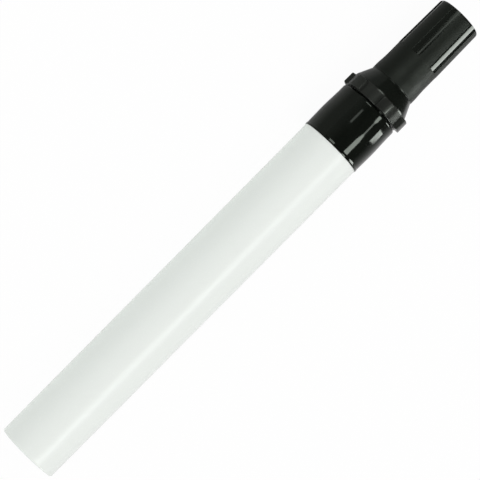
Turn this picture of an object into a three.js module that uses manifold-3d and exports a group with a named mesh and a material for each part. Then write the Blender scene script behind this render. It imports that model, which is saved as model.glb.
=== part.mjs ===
// Liquid chalk marker, in millimetres. The marker lies along +X: its closed bottom end is at the
// origin, its cap points to +X, and +Z is up. Angles round the axis are counted from +Z towards -Y.

import * as THREE from 'three';
import { mergeVertices } from 'three/addons/utils/BufferGeometryUtils.js';
import Module from 'manifold-3d';

const wasm = await Module();
wasm.setup();

// Barrel
const barrelLength = 97.7;       // closed end to the shoulder that the collar meets
const barrelEndRadius = 7.58;    // outside, just above the bottom edge
const barrelDraft = 0.18;        // the outside grows by this much up to the shoulder
const barrelWall = 1.4;          // side wall at the bottom end
const barrelFloor = 1.4;         // closed end
const barrelEdge = 0.4;          // rounding of the bottom edge
const neckLength = 8.1;
const neckWall = 0.82;
const snapAt = 2.6;              // snap groove in the neck, from the shoulder
const snapLength = 1.8;
const snapDepth = 0.3;
const snapFit = 0.15;            // the collar's snap bead in that groove, all round

// Collar
const neckFit = 0.12;            // play between the neck and the collar's bore
const collarStep = 0.1;          // its lower end stands out from the barrel by this much
const collarCrown = 0.08;        // how far the collar swells above its lower end
const collarCrownAt = 5.4;       // where it is widest, from its lower end
const collarWaist = 0.1;         // how far its front end falls below its lower end
const collarShoulderAt = 6.7;    // where its front taper starts
const collarTaperEnd = 2.3;      // the taper ends this far short of the front face
const collarLip = 0.06;          // how far the fine lip round the lower end stands proud
const collarLipLength = 0.4;
const collarLipFall = 0.35;      // length of the slope from the lip into the groove behind it
const collarDip = 0.04;          // depth of that groove
const collarDipEnd = 1.3;        // the groove runs out this far from the lower end
const collarEdge = 0.5;          // rounding of the front edge
const collarWeb = 1.7;           // front wall
const spigotWall = 1.45;         // the spigot that the cap slides on
const spigotLength = 3.5;
const spigotChamfer = 0.4;

// Sealing stack between the neck and the collar's front wall
const gasketThickness = 0.6;
const gasketInset = 0.3;         // the gasket's rim to the neck's outside
const bodyFlange = 1.0;
const holderFlange = 1.4;
const flangeInset = 0.06;        // both flanges, from the neck's outside

// Nib and nib holder
const nibRadius = 2.7;
const nibLength = 21.3;
const nibTipLength = 4.4;        // the bullet-shaped end
const nibTipFlat = 0.5;          // radius of the tip's blunt end
const nibFit = 0.15;             // play round the nib
const nibStandOff = 2.2;         // valve body's front face to the nib's back end
const noseWall = 0.75;
const noseLength = 13.8;         // holder's flange to the mouth
const noseStep = 0.85;           // the thick part of the holder stands out by this much
const noseThickLength = 6.8;
const noseConeLength = 2.5;
const noseEdge = 0.3;
const chamberRadius = 3.6;       // ink chamber behind the nib
const chamberFront = 0.6;        // chamber past the nib's back end
const holderFit = 0.15;          // holder in the collar
const ventCount = 4;             // grooves that let air back past the nib
const ventWidth = 0.8;
const ventDepth = 0.3;
const ventLength = 9;

// Valve
const bodyFit = 0.23;            // valve body in the barrel's bore
const skirtWall = 1.35;
const skirtStep = 0.4;           // ledge that the cage rests on
const seatPlate = 1.8;           // plate with the port
const portRadius = 2.0;
const pushRodRadius = 1.3;
const nibPlay = 0.1;             // push rod to nib
const sealThickness = 0.6;
const sealRadius = 3.4;
const sealBore = 2.25;
const poppetThickness = 1.0;
const poppetRadius = 3.5;
const poppetHub = 0.1;           // the hub fills the seal's bore but for this
const guidePinRadius = 1.2;
const guideFit = 0.12;
const pinPastCage = 0.9;         // the pin's end, short of the cage's front face
const springSpace = 5.9;         // poppet to cage
const springWire = 0.45;
const springCoilRadius = 2.2;    // to the middle of the wire
const springTurns = 5.25;
const springEndGap = 0.1;
const cageFloor = 1.5;
const cageRim = 0.5;             // the rim stands this far past the floor
const cageRimWall = 0.6;
const cageFit = 0.1;
const cageLip = 0.6;             // snap lip behind the cage
const cageLipStep = 0.2;
const cageSlots = 4;
const cageSlotWidth = 1.3;

// Cap
const capGap = 0.3;              // collar to cap
const capSlideFit = 0.2;         // spigot in the cap's mouth
const capMouthWall = 1.37;
const capMouthEdge = 0.25;
const capBandLength = 3.3;
const capConeLength = 3.65;
const capConeStep = 0.1;         // the grip starts this much wider than the cone ends
const capBaseSwell = 0.17;       // the grip's foot is this much wider than its plain stretch
const capSwellLength = 1.7;
const capSwellEase = 2.1;
const capWall = 0.78;            // under a flute, at the far end
const capDraft = 0.2;            // the fluted part is this much wider at its start
const capPlainStep = 0.05;       // the flutes' ridges start this much proud of the plain stretch
const capEndWall = 1.2;
const capEdge = 0.6;
const fluteCount = 6;
const fluteLength = 13.85;
const fluteWidth = 2.45;
const fluteDepth = 0.33;
const fluteCorner = 0.4;
const lugCount = 6;
const lugProud = 0.7;            // the lugs stand out from the collar's lower end by this much
const lugWidth = 3.1;
const lugLength = 3.2;
const lugSet = 0.1;              // lug to the cap's rim
const lugCorner = 0.6;
const lugChamfer = 0.2;
const lugSlope = 0.2;            // the lugs' far ends lean back by this much
const tipRoom = 7.1;             // nib tip to the inner cap's end wall

// Inner cap
const innerCapWall = 0.6;
const innerCapEnd = 0.8;
const innerCapFit = 0.2;         // in the cap
const sealFit = 0.2;             // over the nose
const innerCapOverlap = 4.1;     // how far it reaches back over the nose
const innerCapMouth = 0.3;       // lead-in chamfer

// Mixing balls
const ballRadius = 2.4;
const ballFit = 0.1;             // ball to the barrel's wall
const ballGap = 0.3;             // ball to ball, and ball to the barrel's closed end

// Facets round the axis
const outerSteps = 60;
const innerSteps = 48;
const nibSteps = 36;
const roundSteps = 3;            // straight steps in a rounded edge

// Radii that follow from the above
const barrelTopRadius = barrelEndRadius + barrelDraft;
const barrelBore = barrelEndRadius - barrelWall;
const neckRadius = barrelBore + neckWall;
const collarBore = neckRadius + neckFit;
const collarRadius = barrelTopRadius + collarStep;
const nibBore = nibRadius + nibFit;
const noseRadius = nibBore + noseWall;
const noseThickRadius = noseRadius + noseStep;
const spigotBore = noseThickRadius + holderFit;
const spigotRadius = spigotBore + spigotWall;
const capMouthBore = spigotRadius + capSlideFit;
const capBandRadius = capMouthBore + capMouthWall;
const lugRadius = collarRadius + lugProud;
const innerCapBore = noseRadius + sealFit;
const innerCapRadius = innerCapBore + innerCapWall;
const capBore = innerCapRadius + innerCapFit;
const capEndRadius = capBore + capWall + fluteDepth;
const ridgeStartRadius = capEndRadius + capDraft;
const capPlainRadius = ridgeStartRadius - capPlainStep;
const capFootRadius = capPlainRadius + capBaseSwell;
const capConeRadius = capFootRadius - capConeStep;
const skirtRadius = barrelBore - bodyFit;
const skirtBore = skirtRadius - skirtWall;
const cageSeatBore = skirtBore - skirtStep;

// Places along the axis that follow from the above
const neckEnd = barrelLength + neckLength;
const snapStart = barrelLength + snapAt;
const snapEnd = snapStart + snapLength;
const bodyBack = neckEnd + gasketThickness;
const bodyFront = bodyBack + bodyFlange;
const holderFront = bodyFront + holderFlange;
const collarFront = holderFront + collarWeb;
const seatBack = bodyFront - seatPlate;
const poppetFront = seatBack - sealThickness;
const poppetBack = poppetFront - poppetThickness;
const cageFront = poppetBack - springSpace;
const cageBack = cageFront - cageFloor;
const nibBack = bodyFront + nibStandOff;
const nibTip = nibBack + nibLength;
const noseMouth = holderFront + noseLength;
const innerCapInside = nibTip + tipRoom;
const innerCapFar = innerCapInside + innerCapEnd;
const capStart = collarFront + capGap;
const capEnd = innerCapFar + capEndWall;
const coneStart = capStart + capBandLength;
const coneEnd = coneStart + capConeLength;
const fluteStart = capEnd - fluteLength;

// Points of a rounded corner from one direction to another, angles in degrees from +X
function roundedCorner(x, radius, edge, fromAngle, toAngle) {
  const points = [];
  for (let step = 0; step <= roundSteps; step += 1) {
    const angle = THREE.MathUtils.degToRad(fromAngle + (toAngle - fromAngle) * step / roundSteps);
    points.push([x + edge * Math.cos(angle), radius + edge * Math.sin(angle)]);
  }
  return points;
}

// A body turned about the X axis. The profile is a list of [place along the axis, radius].
function turned(profile, steps) {
  const points = profile.map(([x, radius]) => new THREE.Vector2(radius, x));
  const geometry = new THREE.LatheGeometry(points, steps);
  geometry.rotateZ(-Math.PI / 2);
  return geometry;
}

// A ring, or any body with a hole through it: its profile closes on itself
function turnedRing(profile, steps) {
  return turned([...profile, profile[0]], steps);
}

// Boolean joins and cuts
function toSolid(geometry) {
  const plain = geometry.clone();
  plain.deleteAttribute('normal');
  plain.deleteAttribute('uv');
  const merged = mergeVertices(plain, 1e-5);
  const mesh = new wasm.Mesh({
    numProp: 3,
    vertProperties: new Float32Array(merged.attributes.position.array),
    triVerts: new Uint32Array(withoutSlivers(merged.index.array)),
  });
  return new wasm.Manifold(mesh);
}

// The triangles of a turned body collapse to lines at its axis: those are left out
function withoutSlivers(index) {
  const kept = [];
  for (let i = 0; i < index.length; i += 3) {
    const [a, b, c] = [index[i], index[i + 1], index[i + 2]];
    if (a !== b && b !== c && c !== a) kept.push(a, b, c);
  }
  return kept;
}

function toGeometry(solid) {
  const mesh = solid.getMesh();
  const geometry = new THREE.BufferGeometry();
  const positions = new Float32Array(mesh.vertProperties);
  geometry.setAttribute('position', new THREE.BufferAttribute(positions, 3));
  geometry.setIndex(new THREE.BufferAttribute(new Uint32Array(mesh.triVerts), 1));
  return geometry;
}

// Turns a geometry about the marker's axis, from +Z towards -Y
function turnedBy(geometry, degrees) {
  return geometry.clone().rotateX(THREE.MathUtils.degToRad(degrees));
}

// A plate with rounded corners, its length along X and its width along Y, from one height to another
function plate(xStart, length, width, corner, zLow, zHigh) {
  const shape = new THREE.Shape();
  const half = width / 2;
  shape.moveTo(xStart + corner, -half);
  shape.lineTo(xStart + length - corner, -half);
  shape.quadraticCurveTo(xStart + length, -half, xStart + length, -half + corner);
  shape.lineTo(xStart + length, half - corner);
  shape.quadraticCurveTo(xStart + length, half, xStart + length - corner, half);
  shape.lineTo(xStart + corner, half);
  shape.quadraticCurveTo(xStart, half, xStart, half - corner);
  shape.lineTo(xStart, -half + corner);
  shape.quadraticCurveTo(xStart, -half, xStart + corner, -half);
  const settings = { depth: zHigh - zLow, bevelEnabled: false, curveSegments: roundSteps };
  return new THREE.ExtrudeGeometry(shape, settings).translate(0, 0, zLow);
}

// The same tool repeated round the axis, as one solid
function aroundAxis(tool, count, firstAngle) {
  let all = toSolid(turnedBy(tool, firstAngle));
  for (let copy = 1; copy < count; copy += 1) {
    all = all.add(toSolid(turnedBy(tool, firstAngle + copy * 360 / count)));
  }
  return all;
}

function barrelGeometry() {
  const bottomEdge = roundedCorner(barrelEdge, barrelEndRadius - barrelEdge, barrelEdge, 180, 90);
  return turned([
    [0, 0],
    ...bottomEdge,
    [barrelLength, barrelTopRadius],
    [barrelLength, neckRadius],
    [snapStart, neckRadius],
    [snapStart, neckRadius - snapDepth],
    [snapEnd, neckRadius - snapDepth],
    [snapEnd, neckRadius],
    [neckEnd, neckRadius],
    [neckEnd, barrelBore],
    [barrelFloor, barrelBore],
    [barrelFloor, 0],
  ], outerSteps);
}

function collarGeometry() {
  const lipRadius = collarRadius + collarLip;
  const dipRadius = collarRadius - collarDip;
  const frontRadius = collarRadius - collarWaist;
  const frontEdge = roundedCorner(collarFront - collarEdge, frontRadius - collarEdge, collarEdge, 90, 0);
  const spigotEnd = collarFront + spigotLength;
  return turnedRing([
    [barrelLength, collarBore],
    [barrelLength, lipRadius],
    [barrelLength + collarLipLength, lipRadius],
    [barrelLength + collarLipLength + collarLipFall, dipRadius],
    [barrelLength + collarDipEnd, collarRadius],
    [barrelLength + collarCrownAt, collarRadius + collarCrown],
    [barrelLength + collarShoulderAt, collarRadius + collarCrown / 2],
    [collarFront - collarTaperEnd, frontRadius],
    ...frontEdge,
    [collarFront, spigotRadius],
    [spigotEnd - spigotChamfer, spigotRadius],
    [spigotEnd, spigotRadius - spigotChamfer],
    [spigotEnd, spigotBore],
    [holderFront, spigotBore],
    [holderFront, collarBore],
    [snapEnd - snapFit, collarBore],
    [snapEnd - snapFit, neckRadius - snapDepth + snapFit],
    [snapStart + snapFit, neckRadius - snapDepth + snapFit],
    [snapStart + snapFit, collarBore],
  ], outerSteps);
}

function capGeometry() {
  const mouthEdge = roundedCorner(capStart + capMouthEdge, capBandRadius - capMouthEdge, capMouthEdge, 180, 90);
  const farEdge = roundedCorner(capEnd - capEdge, capEndRadius - capEdge, capEdge, 90, 0);
  const boreConeStart = coneStart + capMouthEdge;
  const boreConeEnd = coneEnd + capMouthEdge;
  const shell = toSolid(turned([
    [innerCapFar, 0],
    [innerCapFar, capBore],
    [boreConeEnd, capBore],
    [boreConeStart, capMouthBore],
    [capStart + capMouthEdge, capMouthBore],
    [capStart, capMouthBore + capMouthEdge],
    ...mouthEdge,
    [coneStart, capBandRadius],
    [coneEnd, capConeRadius],
    [coneEnd, capFootRadius],
    [coneEnd + capSwellLength, capFootRadius],
    [coneEnd + capSwellLength + capSwellEase, capPlainRadius],
    [fluteStart, capPlainRadius],
    [fluteStart, ridgeStartRadius],
    ...farEdge,
    [capEnd, 0],
  ], outerSteps));
  return toGeometry(shell.add(lugs()).subtract(flutes()));
}

// The lugs are plates cut to a ring, so their outer faces follow the cap's round
function lugs() {
  const start = capStart + lugSet;
  const end = start + lugLength;
  const ring = toSolid(turnedRing([
    [start, capMouthBore + capMouthWall / 2],
    [start, lugRadius - lugChamfer],
    [start + lugChamfer, lugRadius],
    [end - lugSlope, lugRadius],
    [end, capBandRadius],
    [end, capMouthBore + capMouthWall / 2],
  ], outerSteps));
  const lugPlate = plate(start - lugCorner, lugLength + lugCorner, lugWidth, lugCorner, 0, lugRadius * 1.1);
  return ring.intersect(aroundAxis(lugPlate, lugCount, 180 / lugCount));
}

// The flutes' floors follow the fluted part's taper
function flutes() {
  const pastEnd = 1;
  const outside = ridgeStartRadius + pastEnd;
  const ring = toSolid(turnedRing([
    [fluteStart, ridgeStartRadius - fluteDepth],
    [fluteStart, outside],
    [capEnd + pastEnd, outside],
    [capEnd + pastEnd, capEndRadius - fluteDepth],
  ], outerSteps));
  const cutter = plate(fluteStart, fluteLength + 2 * pastEnd, fluteWidth, fluteCorner, 0, outside);
  return ring.intersect(aroundAxis(cutter, fluteCount, 0));
}

function innerCapGeometry() {
  const mouth = noseMouth - innerCapOverlap;
  return turned([
    [innerCapInside, 0],
    [innerCapInside, innerCapBore],
    [mouth + innerCapMouth, innerCapBore],
    [mouth, innerCapBore + innerCapMouth],
    [mouth, innerCapRadius],
    [innerCapFar, innerCapRadius],
    [innerCapFar, 0],
  ], innerSteps);
}

function nibHolderGeometry() {
  const flangeRadius = neckRadius - flangeInset;
  const thickEnd = holderFront + noseThickLength;
  const mouthEdge = roundedCorner(noseMouth - noseEdge, noseRadius - noseEdge, noseEdge, 90, 0);
  const chamberEnd = nibBack + chamberFront;
  const tube = toSolid(turnedRing([
    [bodyFront, chamberRadius],
    [bodyFront, flangeRadius],
    [holderFront, flangeRadius],
    [holderFront, noseThickRadius],
    [thickEnd, noseThickRadius],
    [thickEnd + noseConeLength, noseRadius],
    ...mouthEdge,
    [noseMouth, nibBore],
    [chamberEnd, nibBore],
    [chamberEnd, chamberRadius],
  ], innerSteps));
  const pastMouth = 1;
  const vent = new THREE.BoxGeometry(ventLength + pastMouth, ventWidth, nibBore + ventDepth);
  vent.translate(noseMouth - (ventLength - pastMouth) / 2, 0, (nibBore + ventDepth) / 2);
  return toGeometry(tube.subtract(aroundAxis(vent, ventCount, 180 / ventCount)));
}

// A straight rod with a bullet end: a half ellipse, blunted at the tip
function nibGeometry() {
  const bulletStart = nibTip - nibTipLength;
  const profile = [[nibBack, 0], [nibBack, nibRadius]];
  const bulletSteps = 6;
  const bluntAngle = Math.asin(nibTipFlat / nibRadius);
  for (let step = 0; step <= bulletSteps; step += 1) {
    const angle = (Math.PI / 2 - bluntAngle) * step / bulletSteps;
    const along = nibTipLength * Math.sin(angle) / Math.cos(bluntAngle);
    profile.push([bulletStart + along, nibRadius * Math.cos(angle)]);
  }
  profile.push([nibTip, 0]);
  return turned(profile, nibSteps);
}

function valveBodyGeometry() {
  const flangeRadius = neckRadius - flangeInset;
  return turnedRing([
    [bodyFront, portRadius],
    [seatBack, portRadius],
    [seatBack, cageSeatBore],
    [cageFront + cageRim, cageSeatBore],
    [cageFront + cageRim, skirtBore],
    [cageBack, skirtBore],
    [cageBack, skirtBore - cageLipStep],
    [cageBack - cageLip, skirtBore - cageLipStep],
    [cageBack - cageLip, skirtRadius],
    [bodyBack, skirtRadius],
    [bodyBack, flangeRadius],
    [bodyFront, flangeRadius],
  ], innerSteps);
}

function valveStemGeometry() {
  const hubRadius = sealBore - poppetHub;
  return turned([
    [cageFront - pinPastCage, 0],
    [cageFront - pinPastCage, guidePinRadius],
    [poppetBack, guidePinRadius],
    [poppetBack, poppetRadius],
    [poppetFront, poppetRadius],
    [poppetFront, hubRadius],
    [seatBack - sealThickness / 2, hubRadius],
    [seatBack - sealThickness / 2, pushRodRadius],
    [nibBack - nibPlay, pushRodRadius],
    [nibBack - nibPlay, 0],
  ], nibSteps);
}

function stemSealGeometry() {
  return turnedRing([
    [poppetFront, sealBore],
    [poppetFront, sealRadius],
    [seatBack, sealRadius],
    [seatBack, sealBore],
  ], nibSteps);
}

function valveCageGeometry() {
  const cageRadius = skirtBore - cageFit;
  const guideBore = guidePinRadius + guideFit;
  const rimBore = cageRadius - cageRimWall;
  const disc = toSolid(turnedRing([
    [cageBack, cageRadius],
    [cageFront + cageRim, cageRadius],
    [cageFront + cageRim, rimBore],
    [cageFront, rimBore],
    [cageFront, guideBore],
    [cageBack, guideBore],
  ], nibSteps));
  const slotInner = springCoilRadius + springWire / 2 + springEndGap;
  const slot = new THREE.BoxGeometry(3 * cageFloor, cageSlotWidth, rimBore - slotInner);
  slot.translate((cageBack + cageFront) / 2, 0, (rimBore + slotInner) / 2);
  return toGeometry(disc.subtract(aroundAxis(slot, cageSlots, 180 / cageSlots)));
}

function neckGasketGeometry() {
  return turnedRing([
    [neckEnd, barrelBore],
    [neckEnd, neckRadius - gasketInset],
    [bodyBack, neckRadius - gasketInset],
    [bodyBack, barrelBore],
  ], innerSteps);
}

// One unbroken wire along a helix
class SpringCurve extends THREE.Curve {
  getPoint(share, target = new THREE.Vector3()) {
    const start = cageFront + springEndGap + springWire / 2;
    const length = springSpace - 2 * springEndGap - springWire;
    const angle = share * springTurns * 2 * Math.PI;
    const y = springCoilRadius * Math.sin(angle);
    const z = springCoilRadius * Math.cos(angle);
    return target.set(start + share * length, y, z);
  }
}

function springGeometry() {
  const wireSides = 6;
  const stepsPerTurn = 14;
  const section = new THREE.Shape();
  for (let side = 0; side < wireSides; side += 1) {
    const angle = side * 2 * Math.PI / wireSides;
    const x = springWire / 2 * Math.cos(angle);
    const y = springWire / 2 * Math.sin(angle);
    if (side === 0) section.moveTo(x, y);
    else section.lineTo(x, y);
  }
  section.closePath();
  const steps = Math.round(springTurns * stepsPerTurn);
  return new THREE.ExtrudeGeometry(section, { steps, extrudePath: new SpringCurve() });
}

// The balls lie side by side in the trough of the barrel, against its closed end
function ballPlace(side) {
  const sideways = side * (ballRadius + ballGap / 2);
  const fromAxis = barrelBore - ballRadius - ballFit;
  const down = Math.sqrt(fromAxis * fromAxis - sideways * sideways);
  return new THREE.Vector3(barrelFloor + ballGap + ballRadius, sideways, -down);
}

const whitePlastic = new THREE.MeshStandardMaterial({ color: 0xe4e8e4, roughness: 0.35, metalness: 0 });
const blackPlastic = new THREE.MeshStandardMaterial({ color: 0x141614, roughness: 0.15, metalness: 0 });
const satinBlackPlastic = new THREE.MeshStandardMaterial({ color: 0x181a18, roughness: 0.3, metalness: 0 });
const milkyPlastic = new THREE.MeshStandardMaterial({ color: 0xdcdedb, roughness: 0.45, metalness: 0 });
const nibFelt = new THREE.MeshStandardMaterial({ color: 0xf1efe9, roughness: 0.9, metalness: 0 });
const softRubber = new THREE.MeshStandardMaterial({ color: 0x3a3c3e, roughness: 0.7, metalness: 0 });
const steel = new THREE.MeshStandardMaterial({ color: 0xb9bcc0, roughness: 0.2, metalness: 1 });

function piece(name, geometry, material) {
  const mesh = new THREE.Mesh(geometry, material);
  mesh.name = name;
  return mesh;
}

function body() {
  const group = new THREE.Group();
  group.add(piece('barrel', barrelGeometry(), whitePlastic));
  group.add(piece('collar', collarGeometry(), blackPlastic));
  group.add(piece('nib_holder', nibHolderGeometry(), blackPlastic));
  group.add(piece('neck_gasket', neckGasketGeometry(), softRubber));
  return group;
}

function valve() {
  const group = new THREE.Group();
  group.add(piece('valve_body', valveBodyGeometry(), milkyPlastic));
  group.add(piece('valve_cage', valveCageGeometry(), milkyPlastic));
  group.add(piece('valve_stem', valveStemGeometry(), milkyPlastic));
  group.add(piece('stem_seal', stemSealGeometry(), softRubber));
  group.add(piece('valve_spring', springGeometry(), steel));
  return group;
}

function capGroup() {
  const group = new THREE.Group();
  group.add(piece('cap', capGeometry(), satinBlackPlastic));
  group.add(piece('inner_cap', innerCapGeometry(), milkyPlastic));
  return group;
}

function mixingBalls() {
  const group = new THREE.Group();
  const ballGeometry = new THREE.SphereGeometry(ballRadius, 20, 14);
  [-1, 1].forEach((side, index) => {
    const ball = piece(`mixing_ball_${index + 1}`, ballGeometry, steel);
    ball.position.copy(ballPlace(side));
    group.add(ball);
  });
  return group;
}

const marker = new THREE.Group();
marker.add(body());
marker.add(valve());
marker.add(piece('nib', nibGeometry(), nibFelt));
marker.add(capGroup());
marker.add(mixingBalls());

export default marker;
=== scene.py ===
import math
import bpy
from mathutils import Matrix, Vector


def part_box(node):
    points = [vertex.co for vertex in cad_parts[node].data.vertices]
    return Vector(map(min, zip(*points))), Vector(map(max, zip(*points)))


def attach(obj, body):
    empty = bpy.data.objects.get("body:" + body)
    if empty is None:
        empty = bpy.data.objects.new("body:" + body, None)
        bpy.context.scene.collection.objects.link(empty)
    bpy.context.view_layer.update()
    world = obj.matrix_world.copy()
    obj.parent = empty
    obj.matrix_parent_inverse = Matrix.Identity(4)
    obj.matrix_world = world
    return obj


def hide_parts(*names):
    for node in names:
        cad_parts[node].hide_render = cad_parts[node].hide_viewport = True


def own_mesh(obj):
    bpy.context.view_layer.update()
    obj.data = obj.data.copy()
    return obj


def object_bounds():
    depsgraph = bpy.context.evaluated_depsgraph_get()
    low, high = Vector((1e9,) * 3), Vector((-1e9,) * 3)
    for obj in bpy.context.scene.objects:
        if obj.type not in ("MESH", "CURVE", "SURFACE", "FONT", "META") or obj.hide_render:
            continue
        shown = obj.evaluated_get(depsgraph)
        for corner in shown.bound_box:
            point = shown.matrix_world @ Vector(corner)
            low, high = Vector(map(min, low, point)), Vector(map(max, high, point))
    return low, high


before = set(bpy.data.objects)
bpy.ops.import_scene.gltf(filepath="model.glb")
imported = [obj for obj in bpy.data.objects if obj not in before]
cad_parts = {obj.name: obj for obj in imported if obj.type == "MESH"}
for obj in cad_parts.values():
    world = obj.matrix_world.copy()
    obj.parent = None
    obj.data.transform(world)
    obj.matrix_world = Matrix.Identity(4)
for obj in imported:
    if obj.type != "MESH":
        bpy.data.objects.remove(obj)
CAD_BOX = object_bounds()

from types import SimpleNamespace

import bmesh
import bpy
from bpy.props import FloatProperty, FloatVectorProperty, IntProperty, PointerProperty
from bpy.types import Operator, Panel, PropertyGroup
from mathutils import Matrix, Vector

bl_info = {
    "name": "Liquid chalk marker",
    "version": (1, 0, 0),
    "blender": (4, 5, 0),
    "location": "View3D > Sidebar > Marker",
    "description": "Builds a liquid chalk marker, its valve, its cap and a plain studio around its frame",
    "category": "Add Mesh",
}

# The marker lies along +X, its closed end at the origin. Angles round it count from +Z towards -Y.
MM = 0.001
AXIS = Vector((1, 0, 0))
FULL_TURN = 2 * math.pi


def reach(node):
    """Where a node starts and ends along the marker, and how far it reaches from the axis."""
    low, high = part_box(node)
    return low.x, high.x, high.y


BARREL_START, NECK_END, BARREL_RADIUS = reach("barrel")
SHOULDER, SPIGOT_END, COLLAR_RADIUS = reach("collar")
FLANGE_BACK, NOSE_MOUTH, FLANGE_RADIUS = reach("nib_holder")
NIB_BACK, NIB_TIP, NIB_RADIUS = reach("nib")
CAP_START, CAP_END, LUG_REACH = reach("cap")
INNER_CAP_MOUTH, INNER_CAP_END, INNER_CAP_RADIUS = reach("inner_cap")
VALVE_BACK, VALVE_FRONT, _ = reach("valve_body")
CAGE_BACK, CAGE_RIM, CAGE_RADIUS = reach("valve_cage")
STEM_BACK, ROD_END, POPPET_RADIUS = reach("valve_stem")
SEAL_BACK, SEAL_FRONT, SEAL_RADIUS = reach("stem_seal")
GASKET_BACK, GASKET_FRONT, GASKET_RADIUS = reach("neck_gasket")


def length(name, millimetres, description):
    return FloatProperty(
        name=name, description=description, default=millimetres * MM, min=0, precision=5, unit="LENGTH"
    )


def colour(name, red, green, blue, description):
    return FloatVectorProperty(
        name=name, description=description, default=(red, green, blue), min=0, max=1, subtype="COLOR"
    )


def share(name, value, description):
    return FloatProperty(name=name, description=description, default=value, min=0, max=1, subtype="FACTOR")


def strength(name, value, description):
    return FloatProperty(name=name, description=description, default=value, min=0)


def count(name, value, description, least=1):
    return IntProperty(name=name, description=description, default=value, min=least)


def turn(name, degrees, description):
    return FloatProperty(name=name, description=description, default=math.radians(degrees), subtype="ANGLE")


class BarrelSizes(PropertyGroup):
    end_radius: length("End radius", 7.58, "Outside, just above the closed end")
    wall: length("Wall", 1.4, "Side wall at the closed end")
    floor: length("Floor", 1.4, "Thickness of the closed end")
    edge: length("Edge", 0.4, "Rounding of the closed end")
    neck_wall: length("Neck wall", 0.82, "Wall of the neck inside the collar")
    snap_at: length("Snap groove", 2.6, "From the shoulder to the groove in the neck")
    snap_length: length("Groove length", 1.8, "Length of the groove along the neck")
    snap_depth: length("Groove depth", 0.3, "Depth of the groove")
    gate_radius: length("Gate mark", 1.3, "Radius of the dimple left by the gate")
    gate_depth: length("Gate depth", 0.15, "Depth of the dimple")


class CollarSizes(PropertyGroup):
    neck_fit: length("Neck fit", 0.12, "Play round the barrel's neck")
    snap_fit: length("Snap fit", 0.15, "Play round the bead in the neck's groove")
    crown: length("Crown", 0.08, "Swell above the lower end")
    crown_at: length("Crown place", 5.9, "From the lower end to the widest place")
    crown_round: length("Crown rounding", 1.0, "Half the length of the widest stretch")
    waist: length("Waist", 0.1, "Fall of the front below the lower end")
    taper_end: length("Taper end", 2.3, "From the end of the taper to the front")
    lip: length("Lip", 0.06, "Height of the fine lip at the lower end")
    lip_length: length("Lip length", 0.4, "Length of that lip")
    lip_fall: length("Lip fall", 0.35, "Length of the slope behind the lip")
    dip: length("Groove", 0.04, "Depth of the groove behind the lip")
    dip_end: length("Groove end", 1.3, "From the lower end to the groove's end")
    edge: length("Front edge", 0.5, "Rounding of the front edge")
    web: length("Front wall", 1.7, "Thickness of the front wall")
    spigot_length: length("Spigot length", 3.5, "The spigot that the cap slides on")
    spigot_wall: length("Spigot wall", 1.45, "Wall of the spigot")
    spigot_chamfer: length("Spigot chamfer", 0.4, "Lead-in of the spigot")


class NoseSizes(PropertyGroup):
    wall: length("Wall", 0.75, "Wall round the nib at the mouth")
    step: length("Step", 0.85, "Height of the thick part above the thin")
    thick_length: length("Thick length", 6.8, "Length of the thick part")
    cone_length: length("Cone length", 2.5, "Length of the cone in between")
    edge: length("Mouth edge", 0.3, "Rounding of the mouth")
    flange: length("Flange", 1.4, "Thickness of the flange")
    chamber_radius: length("Chamber", 3.6, "Radius of the ink chamber behind the nib")
    chamber_front: length("Chamber front", 0.6, "From the nib's back end to the chamber's end")
    nib_fit: length("Nib fit", 0.15, "Play round the nib")
    holder_fit: length("Holder fit", 0.15, "Play round the nose")
    vent_count: count("Vents", 4, "Grooves that let air back in")
    vent_width: length("Vent width", 0.8, "Width of each groove")
    vent_depth: length("Vent depth", 0.3, "Depth of each groove")
    vent_length: length("Vent length", 9.0, "Length of each groove")
    tip_length: length("Tip length", 4.4, "Length of the nib's bullet end")
    tip_flat: length("Tip flat", 0.5, "Radius of the nib's blunt tip")


class ValveSizes(PropertyGroup):
    skirt_fit: length("Skirt fit", 0.23, "Play round the valve body")
    skirt_wall: length("Skirt wall", 1.35, "Wall of the valve body's skirt")
    skirt_step: length("Skirt step", 0.4, "Ledge under the cage")
    flange: length("Flange", 1.0, "Thickness of the valve body's flange")
    seat_plate: length("Seat plate", 1.8, "Plate with the port")
    port_radius: length("Port radius", 2.0, "Radius of the port")
    rod_radius: length("Push rod", 1.3, "Radius of the push rod")
    seal_bore: length("Seal bore", 2.25, "Hole through the seal")
    poppet_thickness: length("Poppet", 1.0, "Thickness of the poppet")
    poppet_hub: length("Hub fit", 0.1, "Play between hub and seal")
    pin_radius: length("Guide pin", 1.2, "Radius of the guide pin")
    guide_fit: length("Guide fit", 0.12, "Play round the guide pin")
    wire: length("Wire", 0.45, "Thickness of the spring's wire")
    coil_radius: length("Coil radius", 2.2, "From the axis to the middle of the wire")
    end_gap: length("Spring gap", 0.1, "Play at each end of the spring")
    turns: FloatProperty(name="Turns", description="Turns of the spring", default=5.25, min=1)
    cage_floor: length("Cage floor", 1.5, "Thickness of the cage")
    cage_rim_wall: length("Cage rim", 0.6, "Wall of the cage's rim")
    lip: length("Snap lip", 0.6, "Length of the lip behind the cage")
    lip_step: length("Lip step", 0.2, "How far the lip reaches in")
    slots: count("Cage slots", 4, "Slots that let the ink through")
    slot_width: length("Slot width", 1.3, "Width of each slot")


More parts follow.
